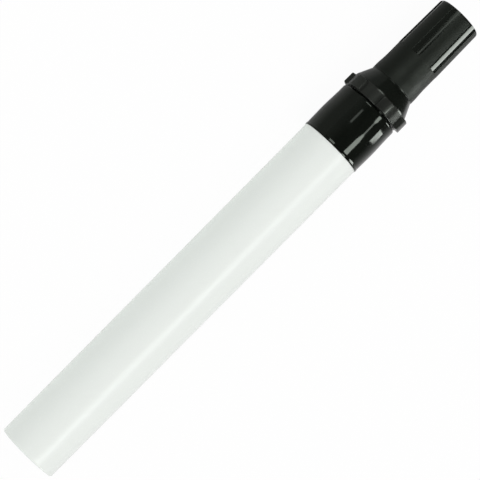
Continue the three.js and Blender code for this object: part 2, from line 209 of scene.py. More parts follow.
class CapSizes(PropertyGroup):
    slide_fit: length("Slide fit", 0.2, "Spigot in the cap's mouth")
    mouth_wall: length("Mouth wall", 1.37, "Wall of the band at the mouth")
    mouth_edge: length("Mouth edge", 0.25, "Rounding of the mouth")
    band_length: length("Band length", 3.3, "Length of the band with the lugs")
    cone_length: length("Cone length", 3.65, "Length of the cone above the band")
    cone_step: length("Cone step", 0.1, "Step from the cone out to the grip")
    base_swell: length("Foot swell", 0.17, "Swell of the grip's foot")
    swell_length: length("Foot length", 1.7, "Length of the grip's foot")
    swell_ease: length("Foot ease", 2.1, "Length of the slope after the foot")
    wall: length("Wall", 0.78, "Wall under a flute at the far end")
    draft: length("Draft", 0.2, "Taper of the fluted stretch")
    plain_step: length("Ridge step", 0.05, "Step up to the ridges")
    edge: length("Far edge", 0.6, "Rounding of the far edge")
    flute_count: count("Flutes", 6, "Grip flutes round the cap")
    flute_length: length("Flute length", 13.85, "Length of the flutes")
    flute_width: length("Flute width", 2.45, "Width of each flute")
    flute_depth: length("Flute depth", 0.33, "Depth of each flute")
    flute_lean: share("Flute lean", 0.2, "Share by which one side is deeper")
    flute_corner: length("Flute corner", 0.4, "Corners of each flute's lower end")
    flute_rim: length("Flute rim", 0.05, "How far the flutes' rims are broken")
    lug_count: count("Lugs", 6, "Anti-roll lugs round the band")
    lug_width: length("Lug width", 3.1, "Width of each lug")
    lug_length: length("Lug length", 3.2, "Length of each lug")
    lug_set: length("Lug set", 0.1, "From the mouth to the lugs")
    lug_corner: length("Lug corner", 0.6, "Rounding of the lugs' far corners")
    lug_edge: length("Lug edge", 0.16, "Rounding of the lugs' outer faces")
    lug_slope: length("Lug slope", 0.2, "Lean of the lugs' far ends")
    inner_fit: length("Inner cap fit", 0.2, "Inner cap in the cap")
    inner_wall: length("Inner wall", 0.6, "Wall of the inner cap")
    inner_end: length("Inner end", 0.8, "End wall of the inner cap")
    inner_lead: length("Inner lead-in", 0.3, "Chamfer of the inner cap's mouth")


class BallSizes(PropertyGroup):
    rings: count("Fineness", 5, "Times that each ball's faces are split", 2)


class MarkerColours(PropertyGroup):
    barrel_white: colour("Barrel", 0.787, 0.832, 0.794, "White moulded plastic with a faint green cast")
    gloss_black: colour("Collar", 0.0041, 0.0051, 0.0039, "Polished black plastic")
    # The band's black is about three times lighter than the rest of the cap's: painted sheen that stands in
    # for the band's satin shine
    band_black: colour("Cap band", 0.012, 0.013, 0.0115, "Black plastic of the band at the mouth")
    satin_black: colour("Cap", 0.0036, 0.0048, 0.0034, "Satin black plastic")
    nose_black: colour("Nose", 0.0055, 0.0066, 0.0053, "Black plastic of the nose")
    milky: colour("Inner cap", 0.72, 0.73, 0.70, "Soft, waxy plastic")
    natural: colour("Valve", 0.68, 0.68, 0.64, "Natural plastic of the valve")
    rubber: colour("Seals", 0.025, 0.026, 0.028, "Soft rubber")
    steel: colour("Steel", 0.56, 0.57, 0.58, "Spring wire and balls")
    fibre: colour("Nib", 0.84, 0.83, 0.79, "Pressed fibre of the nib")
    floor: colour("Floor", 0.8, 0.8, 0.8, "Floor under and behind the marker")
    floor_front: colour("Floor in front", 0.16, 0.16, 0.16, "Floor in front of the marker")


class StudioSettings(PropertyGroup):
    camera_angle: turn("Camera angle", -44.6, "Camera's place round the marker, from +Z towards -Y")
    camera_roll: turn("Camera roll", 45.23, "Slope of the marker's axis in the picture")
    camera_distance: length("Camera distance", 520, "From the marker's axis to the camera")
    camera_foot: length("Camera foot", 44, "From the closed end to below the camera")
    centre_along: length("Centre along", 68.24, "From the closed end to the picture's centre")
    centre_across: length("Centre across", 0.22, "From the marker's axis to the picture's centre")
    lens: FloatProperty(name="Lens", description="Focal length", default=171.5, min=1, unit="CAMERA")
    lamp_distance: length("Lamp distance", 900, "From the marker's axis to the strip lamps")
    floor_radius: length("Floor radius", 5000, "Radius of the round floor")
    floor_glow: share("Floor whiteness", 0.96, "Share of plain white that the camera sees")
    gloss_glow: share("Floor in gloss", 0.08, "Share of plain white that gloss sees")
    fill_floor: strength("Floor fill", 0.55, "Brightness of the panel below")
    fill_top: strength("Top fill", 1.18, "Brightness of the lamp overhead")
    fill_side: strength("Side fill", 1.0, "Brightness of the lamps all round")
    strip: strength("Strip", 7.3, "Brightness of the strip lamps")


def settings(context, name):
    return getattr(context.scene, "chalk_marker_" + name)


# Mesh building

# Fineness: steps round the axis, along the nib's tip and per turn of the spring, sides of its wire,
# slices of lugs and flutes, and segments of roundings
SPIN_STEPS = 240
SMALL_SPIN_STEPS = 120
TIP_STEPS = 24
COIL_STEPS = 40
WIRE_SIDES = 12
LUG_SLICES = 14
FLUTE_SLICES = 16
ROUND_SEGMENTS = 4
CORNER_SEGMENTS = 6
FLUTE_CORNER_SEGMENTS = 4
FLOOR_EDGE_SEGMENTS = 3

# Points closer than this are one, edges sharper than this shade sharp, and large faces lead the shading
WELD = 1e-7
SHARP_ANGLE = math.radians(35)
AREA_WEIGHT = 100

# Long edges of a profile get a point this far from each end, so that their shading stays even
HOLD = 0.04 * MM
LONG_EDGE = 10 * HOLD

# How far cutters run past the end that they open
PAST_END = 1 * MM

# Roundings of edges, from barely broken to broad. Those over the last value have twice the segments.
FINE = 0.05 * MM
SLIGHT = 0.1 * MM
SOFT = 0.15 * MM
ROUND = 0.2 * MM
FULL = 0.3 * MM
BROAD = 0.5 * MM
SWEEP = 0.8 * MM
WIDE_ROUND = 0.7 * MM


def moved(mesh, offset):
    bmesh.ops.translate(mesh, verts=mesh.verts, vec=offset)


def rotated(mesh, angle, axis=AXIS):
    bmesh.ops.rotate(mesh, verts=mesh.verts, cent=(0, 0, 0), matrix=Matrix.Rotation(angle, 3, axis))


def rounded(mesh, parts, radius, segments, kind="EDGES"):
    """Rounds edges or single corners of a mesh."""
    bmesh.ops.bevel(
        mesh, geom=parts, affect=kind, offset=radius, offset_type="OFFSET",
        segments=segments, profile=0.5, material=-1,
    )


def sliced(mesh, place, across):
    """Cuts a mesh's faces along a plane and leaves both sides in place."""
    everything = mesh.verts[:] + mesh.edges[:] + mesh.faces[:]
    bmesh.ops.bisect_plane(mesh, geom=everything, dist=WELD, plane_co=place, plane_no=across)


def turned(profile, steps=SPIN_STEPS, ring=False):
    """A body turned about the marker's axis from rows of place along it, radius and rounding."""
    mesh = bmesh.new()
    corners = [mesh.verts.new((x, 0, radius)) for x, radius, _ in profile]
    for first, second in zip(corners, corners[1:]):
        mesh.edges.new((first, second))
    if ring:
        mesh.edges.new((corners[-1], corners[0]))
    roundings = [rounding for _, _, rounding in profile]
    for rounding in sorted(set(roundings) - {0}):
        group = [corner for corner, own in zip(corners, roundings) if own == rounding]
        rounded(mesh, group, rounding, ROUND_SEGMENTS * (1 + (rounding > WIDE_ROUND)), "VERTICES")
    for edge in [edge for edge in mesh.edges if edge.calc_length() > LONG_EDGE]:
        for end in edge.verts[:]:
            bmesh.utils.edge_split(edge, end, HOLD / edge.calc_length())
    bmesh.ops.spin(
        mesh, geom=mesh.verts[:] + mesh.edges[:], cent=(0, 0, 0), axis=AXIS, dvec=(0, 0, 0),
        angle=FULL_TURN, steps=steps, use_merge=True, use_normal_flip=False, use_duplicate=False,
    )
    bmesh.ops.remove_doubles(mesh, verts=mesh.verts, dist=WELD)
    bmesh.ops.recalc_face_normals(mesh, faces=mesh.faces)
    return mesh


def flat_ring(back, front, bore, radius, edge, steps=SPIN_STEPS):
    """A ring of rectangular section with all its edges rounded."""
    corners = ((back, bore), (back, radius), (front, radius), (front, bore))
    return turned([(*corner, edge) for corner in corners], steps, ring=True)


def block(size, corner=0, corner_segments=CORNER_SEGMENTS):
    """A box on the XY plane from x = 0, its two corners at the far x end rounded in plan."""
    mesh = bmesh.new()
    bmesh.ops.create_cube(mesh, size=1)
    moved(mesh, (0.5, 0, 0.5))
    bmesh.ops.scale(mesh, verts=mesh.verts, vec=size)
    if corner:
        uprights = [
            edge for edge in mesh.edges
            if all(vert.co.x > size[0] / 2 for vert in edge.verts)
            and abs(edge.verts[0].co.y - edge.verts[1].co.y) < WELD
        ]
        rounded(mesh, uprights, corner, corner_segments)
    return mesh


def ring_of_blocks(number, size, place):
    """Boxes of one size, set evenly round the axis."""
    blocks = []
    for step in range(number):
        blocks.append(block(size))
        moved(blocks[-1], place)
        rotated(blocks[-1], FULL_TURN * (step + 0.5) / number)
    return blocks


def sliced_across(mesh, width, slices):
    """Cuts a block into strips along Y so that it can bend round the axis."""
    for cut in range(1, slices):
        sliced(mesh, (0, width * (cut / slices - 0.5), 0), (0, 1, 0))


def bent_round(mesh, radius_at, angle, widen=None):
    """Arches a block that lies flat on a round surface: X along it, Y across it and Z out of it."""
    rotation = Matrix.Rotation(angle, 3, AXIS)
    for vert in mesh.verts:
        along, across, height = vert.co
        if widen:
            along, across = widen(along, across, height)
        out = radius_at(along) + height
        vert.co = rotation @ Vector((along, across, math.sqrt(out ** 2 - across ** 2)))


def combined(mesh, others, operation):
    """Joins closed meshes to a body, or cuts them out of it."""
    body = added("body", as_data("body", mesh))
    tools = [added("tool", as_data("tool", other)) for other in others]
    for tool in tools:
        boolean = body.modifiers.new("join", "BOOLEAN")
        boolean.operation = operation
        boolean.solver = "EXACT"
        boolean.object = tool
    evaluated = body.evaluated_get(bpy.context.evaluated_depsgraph_get())
    result = bmesh.new()
    result.from_mesh(evaluated.to_mesh())
    evaluated.to_mesh_clear()
    for temporary in (body, *tools):
        data = temporary.data
        bpy.data.objects.remove(temporary)
        bpy.data.meshes.remove(data)
    bmesh.ops.remove_doubles(result, verts=result.verts, dist=WELD)
    bmesh.ops.dissolve_degenerate(result, edges=result.edges, dist=WELD)
    return result


def as_data(name, mesh):
    """Turns a mesh under construction into an object's data."""
    data = bpy.data.meshes.new(name)
    mesh.to_mesh(data)
    mesh.free()
    return data


def added(name, data):
    """Adds an object to the scene."""
    holder = bpy.data.objects.new(name, data)
    bpy.context.scene.collection.objects.link(holder)
    return holder


def place_piece(name, mesh, materials, body, node, choose_material=None):
    """Makes an object of a finished mesh, gives it its finish and ties it to the frame."""
    data = as_data(name, mesh)
    for material in materials:
        data.materials.append(material)
    if choose_material:
        for face in data.polygons:
            face.material_index = choose_material(face.center)
    data.shade_smooth()
    data.set_sharp_from_angle(angle=SHARP_ANGLE)
    piece = added(name, data)
    shading = piece.modifiers.new("even_shading", "WEIGHTED_NORMAL")
    shading.keep_sharp = True
    shading.weight = AREA_WEIGHT
    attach(piece, body)
    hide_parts(node)
    return piece


# Finishes

# Each finish has a colour and the shares of it that it drifts between, a wave that the colour follows, a
# grain that the roughness follows, the range of the roughness, and the depths of wave and grain. Wave and
# grain are noise: size, detail and stretch. Sizes and depths are in millimetres.

# Black plastic has a faint green cast in its shine
BLACK = dict(IOR=1.43, Specular_Tint=(0.9, 1.0, 0.89, 1))
HALF_GLOSS = dict(
    BLACK, shares=(1, 1.4), wave=(5, 2, 2), grain=(0.15, 4), rough=(0.16, 0.24), depths=(0.004, 0.001)
)
WAXY = dict(
    shares=(0.94, 1), wave=(5, 2), grain=(0.2, 3), rough=(0.42, 0.55), depths=(0, 0.002),
    Subsurface_Weight=0.25, Subsurface_Radius=(0.001, 0.001, 0.0008), Subsurface_Scale=1.0,
)
STEEL = dict(colour="steel", shares=(0.9, 1), wave=(1.5, 2), depths=(0, 0.0006), Metallic=1.0)
FINISHES = {
    "barrel_white": dict(
        colour="barrel_white", shares=(0.985, 1), wave=(12, 2, 4), grain=(0.35,),
        rough=(0.23, 0.29), depths=(0.006, 0.0012), IOR=1.46, Specular_IOR_Level=0.16,
    ),
    "collar_gloss_black": dict(
        BLACK, colour="gloss_black", shares=(1, 1.3), wave=(3, 1, 1.5), grain=(0.25,),
        rough=(0.05, 0.09), depths=(0.002, 0),
    ),
    "flute_polished_black": dict(
        BLACK, colour="gloss_black", shares=(1, 1.3), wave=(2.5, 1, 3), grain=(0.2,),
        rough=(0.07, 0.13), depths=(0.002, 0),
    ),
    "cap_satin_black": dict(
        BLACK, colour="satin_black", shares=(1, 1.25), wave=(6, 2, 2), grain=(0.12, 5),
        rough=(0.43, 0.51), depths=(0.004, 0.002), IOR=1.37,
    ),
    "cap_cone_black": dict(HALF_GLOSS, colour="gloss_black"),
    # The band keeps the cone's half gloss but has a lighter black, painted sheen in place of a satin shine
    "cap_band_black": dict(HALF_GLOSS, colour="band_black"),
    "nose_black": dict(HALF_GLOSS, colour="nose_black", wave=(4, 2), rough=(0.22, 0.32)),
    "valve_natural": dict(WAXY, colour="natural"),
    "inner_cap_milky": dict(WAXY, colour="milky"),
    "seal_rubber": dict(
        colour="rubber", shares=(1, 1.5), wave=(0.1, 4), grain=(0.1, 4),
        rough=(0.6, 0.75), depths=(0, 0.003),
    ),
    "spring_wire": dict(STEEL, grain=(0.06, 4, 6), rough=(0.22, 0.34)),
    "ball_polished": dict(STEEL, grain=(0.06, 4), rough=(0.08, 0.18)),
    "nib_fibre": dict(
        colour="fibre", shares=(0.86, 1), wave=(0.07, 5, 9), grain=(0.22, 4, 2), spread=(0.35, 0.6),
        rough=(0.85, 0.95), depths=(0.02, 0.015), Sheen_Weight=0.2, Sheen_Roughness=0.5,
    ),
}

# Noise stays mostly between these values
NOISE_SPREAD = (0.3, 0.7)

# Colour sockets of a Mix node
MIX_A, MIX_B, MIX_RESULT = 6, 7, 2


def add_node(tree, kind, values, **options):
    """Adds a shader node, sets its options, and fills its inputs with values or links."""
    node = tree.nodes.new("ShaderNode" + kind)
    for name, value in options.items():
        setattr(node, name, value)
    for name, value in values.items():
        if isinstance(value, bpy.types.NodeSocket):
            tree.links.new(value, node.inputs[name])
        else:
            node.inputs[name].default_value = value
    return node


def ramp(tree, value, spread, first, last, kind="LINEAR"):
    """A result that goes from first to last while the value goes through the spread."""
    values = {"Value": value, "From Min": spread[0], "From Max": spread[1], "To Min": first, "To Max": last}
    return add_node(tree, "MapRange", values, interpolation_type=kind).outputs["Result"]


def mixed_colour(tree, factor, first, second):
    values = {"Factor": factor, MIX_A: (*first, 1), MIX_B: (*second, 1)}
    return add_node(tree, "Mix", values, data_type="RGBA").outputs[MIX_RESULT]


def calculated(tree, operation, first, second):
    return add_node(tree, "Math", {0: first, 1: second}, operation=operation).outputs["Value"]


def noise(tree, place, feature, detail=3, stretch=1):
    """Soft noise that stays on the piece, its features in millimetres, drawn out along the marker."""
    drawn_out = add_node(tree, "Mapping", {"Vector": place, "Scale": (1 / stretch, 1, 1)})
    values = {"Vector": drawn_out.outputs["Vector"], "Scale": 1 / (feature * MM), "Detail": detail}
    return add_node(tree, "TexNoise", values).outputs["Fac"]


def finish(context, name):
    """Makes a material from the table of finishes, in its colour from the settings."""
    look = dict(FINISHES[name])
    rgb = getattr(settings(context, "colours"), look.pop("colour"))
    return plain_material(name, rgb, **look)


def plain_material(name, rgb, shares, wave, grain, rough, depths, spread=NOISE_SPREAD, **surface):
    """A material whose colour and roughness follow soft noise, with fine bumps."""
    material = bpy.data.materials.new(name)
    material.use_nodes = True
    tree = material.node_tree
    principled = tree.nodes["Principled BSDF"]
    place = add_node(tree, "TexCoord", {}).outputs["Object"]
    patterns = noise(tree, place, *wave), noise(tree, place, *grain)
    tones = [[min(1, channel * part) for channel in rgb] for part in shares]
    tone = mixed_colour(tree, ramp(tree, patterns[0], spread, 0, 1), *tones)
    tree.links.new(tone, principled.inputs["Base Color"])
    tree.links.new(ramp(tree, patterns[1], NOISE_SPREAD, *rough), principled.inputs["Roughness"])
    below = {}
    for pattern, depth in zip(patterns, depths):
        if depth:
            bump = add_node(tree, "Bump", {"Height": pattern, "Distance": depth * MM, **below})
            below = {"Normal": bump.outputs["Normal"]}
    tree.links.new(below["Normal"], principled.inputs["Normal"])
    for key, value in surface.items():
        principled.inputs[key.replace("_", " ")].default_value = value
    return material


class PieceOperator(Operator):
    """Shared by the operators that add pieces."""

    bl_options = {"REGISTER", "UNDO"}


class MARKER_OT_barrel(PieceOperator):
    """Adds the white barrel with its closed end and its neck"""

    bl_idname = "chalk_marker.barrel"
    bl_label = "Barrel"

    def execute(self, context):
        sizes = settings(context, "barrel")
        bore = sizes.end_radius - sizes.wall
        neck = bore + sizes.neck_wall
        snap_start = SHOULDER + sizes.snap_at
        snap_end = snap_start + sizes.snap_length
        inside = BARREL_START + sizes.floor
        mesh = turned([
            (BARREL_START + sizes.gate_depth, 0, 0),
            (BARREL_START + sizes.gate_depth, sizes.gate_radius, FINE),
            (BARREL_START, sizes.gate_radius + sizes.gate_depth, FINE),
            (BARREL_START, sizes.end_radius, sizes.edge),
            (SHOULDER, BARREL_RADIUS, FINE),
            (SHOULDER, neck, 0),
            (snap_start, neck, FINE),
            (snap_start, neck - sizes.snap_depth, 0),
            (snap_end, neck - sizes.snap_depth, 0),
            (snap_end, neck, FINE),
            (NECK_END, neck, SOFT),
            (NECK_END, bore, FINE),
            (inside, bore, SWEEP),
            (inside, 0, 0),
        ])
        material = finish(context, "barrel_white")
        place_piece("barrel_tube", mesh, [material], "root", "barrel")
        return {"FINISHED"}


def bore_of_spigot(nose):
    return NIB_RADIUS + nose.nib_fit + nose.wall + nose.step + nose.holder_fit


class MARKER_OT_collar(PieceOperator):
    """Adds the glossy collar that couples the barrel to the nose and carries the cap's spigot"""

    bl_idname = "chalk_marker.collar"
    bl_label = "Collar"

    def execute(self, context):
        sizes = settings(context, "collar")
        barrel = settings(context, "barrel")
        nose = settings(context, "nose")
        neck = barrel.end_radius - barrel.wall + barrel.neck_wall
        bore = neck + sizes.neck_fit
        radius = COLLAR_RADIUS - sizes.crown
        lip_end = SHOULDER + sizes.lip_length
        front_radius = radius - sizes.waist
        front = SPIGOT_END - sizes.spigot_length
        web_back = front - sizes.web
        spigot_bore = bore_of_spigot(nose)
        spigot = spigot_bore + sizes.spigot_wall
        bead = neck - barrel.snap_depth + sizes.snap_fit
        bead_start = SHOULDER + barrel.snap_at + sizes.snap_fit
        bead_end = SHOULDER + barrel.snap_at + barrel.snap_length - sizes.snap_fit
        lip_round, groove_round, taper_round = 0.12 * MM, 0.08 * MM, 0.4 * MM
        mesh = turned([
            (SHOULDER, bore, FINE),
            (SHOULDER, radius + sizes.lip, FINE),
            (lip_end, radius + sizes.lip, lip_round),
            (lip_end + sizes.lip_fall, radius - sizes.dip, groove_round),
            (SHOULDER + sizes.dip_end, radius, SOFT),
            (SHOULDER + sizes.crown_at, COLLAR_RADIUS, sizes.crown_round),
            (front - sizes.taper_end, front_radius, taper_round),
            (front, front_radius, sizes.edge),
            (front, spigot, SLIGHT),
            (SPIGOT_END - sizes.spigot_chamfer, spigot, SOFT),
            (SPIGOT_END, spigot - sizes.spigot_chamfer, SLIGHT),
            (SPIGOT_END, spigot_bore, SLIGHT),
            (web_back, spigot_bore, 0),
            (web_back, bore, 0),
            (bead_end, bore, 0),
            (bead_end, bead, FINE),
            (bead_start, bead, FINE),
            (bead_start, bore, 0),
        ], ring=True)
        material = finish(context, "collar_gloss_black")
        place_piece("collar_ring", mesh, [material], "root", "collar")
        return {"FINISHED"}


class MARKER_OT_nose(PieceOperator):
    """Adds the nose that holds the nib, with the air grooves in its mouth"""

    bl_idname = "chalk_marker.nose"
    bl_label = "Nose"

    def execute(self, context):
        sizes = settings(context, "nose")
        nib_bore = NIB_RADIUS + sizes.nib_fit
        thin = nib_bore + sizes.wall
        thick = thin + sizes.step
        flange_front = FLANGE_BACK + sizes.flange
        thick_end = flange_front + sizes.thick_length
        chamber_end = NIB_BACK + sizes.chamber_front
        mesh = turned([
            (FLANGE_BACK, sizes.chamber_radius, FINE),
            (FLANGE_BACK, FLANGE_RADIUS, FINE),
            (flange_front, FLANGE_RADIUS, FINE),
            (flange_front, thick, 0),
            (thick_end, thick, BROAD),
            (thick_end + sizes.cone_length, thin, SWEEP),
            (NOSE_MOUTH, thin, sizes.edge),
            (NOSE_MOUTH, nib_bore, FINE),
            (chamber_end, nib_bore, FINE),
            (chamber_end, sizes.chamber_radius, FINE),
        ], ring=True)
        groove = (sizes.vent_length + PAST_END, sizes.vent_width, nib_bore + sizes.vent_depth)
        vents = ring_of_blocks(sizes.vent_count, groove, (NOSE_MOUTH - sizes.vent_length, 0, 0))
        mesh = combined(mesh, vents, "DIFFERENCE")
        material = finish(context, "nose_black")
        place_piece("nose_piece", mesh, [material], "root", "nib_holder")
        return {"FINISHED"}


class MARKER_OT_nib(PieceOperator):
    """Adds the bullet-shaped fibre nib"""

    bl_idname = "chalk_marker.nib"
    bl_label = "Nib"

    def execute(self, context):
        sizes = settings(context, "nose")
        start = NIB_TIP - sizes.tip_length
        blunt = math.asin(sizes.tip_flat / NIB_RADIUS)
        profile = [(NIB_BACK, 0, 0), (NIB_BACK, NIB_RADIUS, SLIGHT)]
        for step in range(TIP_STEPS + 1):
            angle = (math.pi / 2 - blunt) * step / TIP_STEPS
            along = sizes.tip_length * math.sin(angle) / math.cos(blunt)
            profile.append((start + along, NIB_RADIUS * math.cos(angle), 0))
        profile.append((NIB_TIP, 0, 0))
        mesh = turned(profile, steps=SMALL_SPIN_STEPS)
        material = finish(context, "nib_fibre")
        place_piece("nib_bullet", mesh, [material], "nib", "nib")
        return {"FINISHED"}


class MARKER_OT_gasket(PieceOperator):
    """Adds the flat gasket between the neck and the valve"""

    bl_idname = "chalk_marker.gasket"
    bl_label = "Neck gasket"

    def execute(self, context):
        barrel = settings(context, "barrel")
        bore = barrel.end_radius - barrel.wall
        mesh = flat_ring(GASKET_BACK, GASKET_FRONT, bore, GASKET_RADIUS, SLIGHT)
        material = finish(context, "seal_rubber")
        place_piece("gasket_ring", mesh, [material], "root", "neck_gasket")
        return {"FINISHED"}


class MARKER_OT_valve(PieceOperator):
    """Adds the valve: its housing, cage, stem, seal and spring"""

    bl_idname = "chalk_marker.valve"
    bl_label = "Valve"

    def execute(self, context):
        sizes = settings(context, "valve")
        barrel = settings(context, "barrel")
        natural = finish(context, "valve_natural")
        skirt = barrel.end_radius - barrel.wall - sizes.skirt_fit
        skirt_bore = skirt - sizes.skirt_wall
        seat_bore = skirt_bore - sizes.skirt_step
        seat_back = VALVE_FRONT - sizes.seat_plate
        flange_back = VALVE_FRONT - sizes.flange
        lip_end = VALVE_BACK + sizes.lip
        housing = turned([
            (VALVE_FRONT, sizes.port_radius, SLIGHT),
            (seat_back, sizes.port_radius, FINE),
            (seat_back, seat_bore, ROUND),
            (CAGE_RIM, seat_bore, FINE),
            (CAGE_RIM, skirt_bore, 0),
            (lip_end, skirt_bore, 0),
            (lip_end, skirt_bore - sizes.lip_step, FINE),
            (VALVE_BACK, skirt_bore - sizes.lip_step, SLIGHT),
            (VALVE_BACK, skirt, FULL),
            (flange_back, skirt, 0),
            (flange_back, FLANGE_RADIUS, SLIGHT),
            (VALVE_FRONT, FLANGE_RADIUS, SLIGHT),
        ], ring=True)
        place_piece("valve_housing", housing, [natural], "root", "valve_body")
        self.add_cage(sizes, natural)
        self.add_stem(sizes, natural, seat_back)
        self.add_seal(sizes, finish(context, "seal_rubber"))
        self.add_spring(sizes, finish(context, "spring_wire"))
        return {"FINISHED"}

    def add_cage(self, sizes, natural):
        cage_front = CAGE_BACK + sizes.cage_floor
        rim_bore = CAGE_RADIUS - sizes.cage_rim_wall
        disc = turned([
            (CAGE_BACK, CAGE_RADIUS, SOFT),
            (CAGE_RIM, CAGE_RADIUS, FINE),
            (CAGE_RIM, rim_bore, FINE),
            (cage_front, rim_bore, FINE),
            (cage_front, sizes.pin_radius + sizes.guide_fit, FINE),
            (CAGE_BACK, sizes.pin_radius + sizes.guide_fit, FINE),
        ], steps=SMALL_SPIN_STEPS, ring=True)
        slot_inner = sizes.coil_radius + sizes.wire / 2 + sizes.end_gap
        slot = (3 * sizes.cage_floor, sizes.slot_width, rim_bore - slot_inner)
        slots = ring_of_blocks(sizes.slots, slot, (CAGE_BACK - sizes.cage_floor, 0, slot_inner))
        disc = combined(disc, slots, "DIFFERENCE")
        place_piece("cage_disc", disc, [natural], "root", "valve_cage")

    def add_stem(self, sizes, natural, seat_back):
        poppet_back = SEAL_BACK - sizes.poppet_thickness
        hub = sizes.seal_bore - sizes.poppet_hub
        hub_end = seat_back - (SEAL_FRONT - SEAL_BACK) / 2
        stem = turned([
            (STEM_BACK, 0, 0),
            (STEM_BACK, sizes.pin_radius, ROUND),
            (poppet_back, sizes.pin_radius, SLIGHT),
            (poppet_back, POPPET_RADIUS, FINE),
            (SEAL_BACK, POPPET_RADIUS, FINE),
            (SEAL_BACK, hub, 0),
            (hub_end, hub, FINE),
            (hub_end, sizes.rod_radius, FINE),
            (ROD_END, sizes.rod_radius, ROUND),
            (ROD_END, 0, 0),
        ], steps=SMALL_SPIN_STEPS)
        place_piece("stem_poppet", stem, [natural], "valve_stem", "valve_stem")

    def add_seal(self, sizes, rubber):
        edge = 0.12 * MM
        seal = flat_ring(SEAL_BACK, SEAL_FRONT, sizes.seal_bore, SEAL_RADIUS, edge, SMALL_SPIN_STEPS)
        place_piece("seal_ring", seal, [rubber], "valve_stem", "stem_seal")

    def add_spring(self, sizes, steel):
        cage_front = CAGE_BACK + sizes.cage_floor
        poppet_back = SEAL_BACK - sizes.poppet_thickness
        inset = sizes.end_gap + sizes.wire / 2
        start, end = cage_front + inset, poppet_back - inset
        steps = round(sizes.turns * COIL_STEPS)
        coil = bmesh.new()
        bmesh.ops.create_circle(coil, cap_ends=True, segments=WIRE_SIDES, radius=sizes.wire / 2)
        rotated(coil, FULL_TURN / 4, "X")
        moved(coil, (start, 0, sizes.coil_radius))
        bmesh.ops.spin(
            coil, geom=coil.verts[:] + coil.edges[:] + coil.faces[:], cent=(0, 0, 0), axis=-AXIS,
            dvec=((end - start) / steps, 0, 0), angle=FULL_TURN * sizes.turns, steps=steps,
            use_merge=False, use_normal_flip=False, use_duplicate=False,
        )
        bmesh.ops.recalc_face_normals(coil, faces=coil.faces)
        spring = place_piece("spring_coil", coil, [steel], "root", "valve_spring")
        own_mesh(spring)


# The cap's finishes in their order
GRIP, CONE, FLUTE, BAND = range(4)

# A face belongs to a flute's floor below this share of the flute's depth and outside this share of the wall
FLUTE_SHARE = 0.7
WALL_SHARE = 0.5

# The cone's gloss runs this far onto the grip's foot
GLOSS_PAST_CONE = 0.3 * MM


class MARKER_OT_cap(PieceOperator):
    """Adds the cap with its anti-roll lugs and its grip flutes"""

    bl_idname = "chalk_marker.cap"
    bl_label = "Cap"

    def execute(self, context):
        sizes = settings(context, "cap")
        spots = cap_places(context)
        shell = combined(cap_shell(sizes, spots), cap_lugs(sizes, spots), "UNION")
        shell = combined(shell, cap_flutes(sizes, spots), "DIFFERENCE")

        def choose_material(centre):
            outside = math.hypot(centre.y, centre.z)
            floor = ridge_radius(sizes, spots, centre.x) - FLUTE_SHARE * sizes.flute_depth
            above_bore = outside > spots.bore + WALL_SHARE * sizes.wall
            in_flute = centre.x > spots.flute_start and above_bore and outside < floor
            if in_flute and centre.x < CAP_END - sizes.edge:
                return FLUTE
            if centre.x < spots.cone_start:
                return BAND
            return CONE if centre.x < spots.cone_end + GLOSS_PAST_CONE else GRIP

        names = ("cap_satin_black", "cap_cone_black", "flute_polished_black", "cap_band_black")
        finishes = [finish(context, name) for name in names]
        place_piece("cap_shell", shell, finishes, "cap", "cap", choose_material)
        return {"FINISHED"}


def cap_places(context):
    """Radii and places along the axis that the cap's surfaces share."""
    sizes = settings(context, "cap")
    collar = settings(context, "collar")
    nose = settings(context, "nose")
    mouth_bore = bore_of_spigot(nose) + collar.spigot_wall + sizes.slide_fit
    bore = INNER_CAP_RADIUS + sizes.inner_fit
    end_radius = bore + sizes.wall + sizes.flute_depth
    ridge_start = end_radius + sizes.draft
    plain = ridge_start - sizes.plain_step
    foot = plain + sizes.base_swell
    cone_start = CAP_START + sizes.band_length
    return SimpleNamespace(
        mouth_bore=mouth_bore,
        band=mouth_bore + sizes.mouth_wall,
        bore=bore,
        end_radius=end_radius,
        ridge_start=ridge_start,
        plain=plain,
        foot=foot,
        cone_radius=foot - sizes.cone_step,
        cone_start=cone_start,
        cone_end=cone_start + sizes.cone_length,
        flute_start=CAP_END - sizes.flute_length,
    )


def cap_shell(sizes, spots):
    """The turned shell of the cap, outside and inside."""
    cone_end = spots.cone_end
    foot_end = cone_end + sizes.swell_length
    edge = sizes.mouth_edge
    band_round, crease = 0.25 * MM, 0.04 * MM
    ledge, ridge_rise = 0.05 * MM, 0.1 * MM
    return turned([
        (INNER_CAP_END, 0, 0),
        (INNER_CAP_END, spots.bore, ROUND),
        (cone_end + edge, spots.bore, BROAD),
        (spots.cone_start + edge, spots.mouth_bore, FULL),
        (CAP_START + edge, spots.mouth_bore, SLIGHT),
        (CAP_START, spots.mouth_bore + edge, FINE),
        (CAP_START, spots.band, edge),
        (spots.cone_start, spots.band, band_round),
        (cone_end, spots.cone_radius, crease),
        (cone_end + ledge, spots.foot, SLIGHT),
        (foot_end, spots.foot, SWEEP),
        (foot_end + sizes.swell_ease, spots.plain, SWEEP),
        (spots.flute_start - ridge_rise, spots.plain, 0),
        (spots.flute_start, spots.ridge_start, 0),
        (CAP_END, spots.end_radius, sizes.edge),
        (CAP_END, 0, 0),
    ])


def ridge_radius(sizes, spots, along):
    """Outside radius of the fluted stretch, which tapers towards the far end."""
    done = (along - spots.flute_start) / sizes.flute_length
    return spots.ridge_start - sizes.draft * done


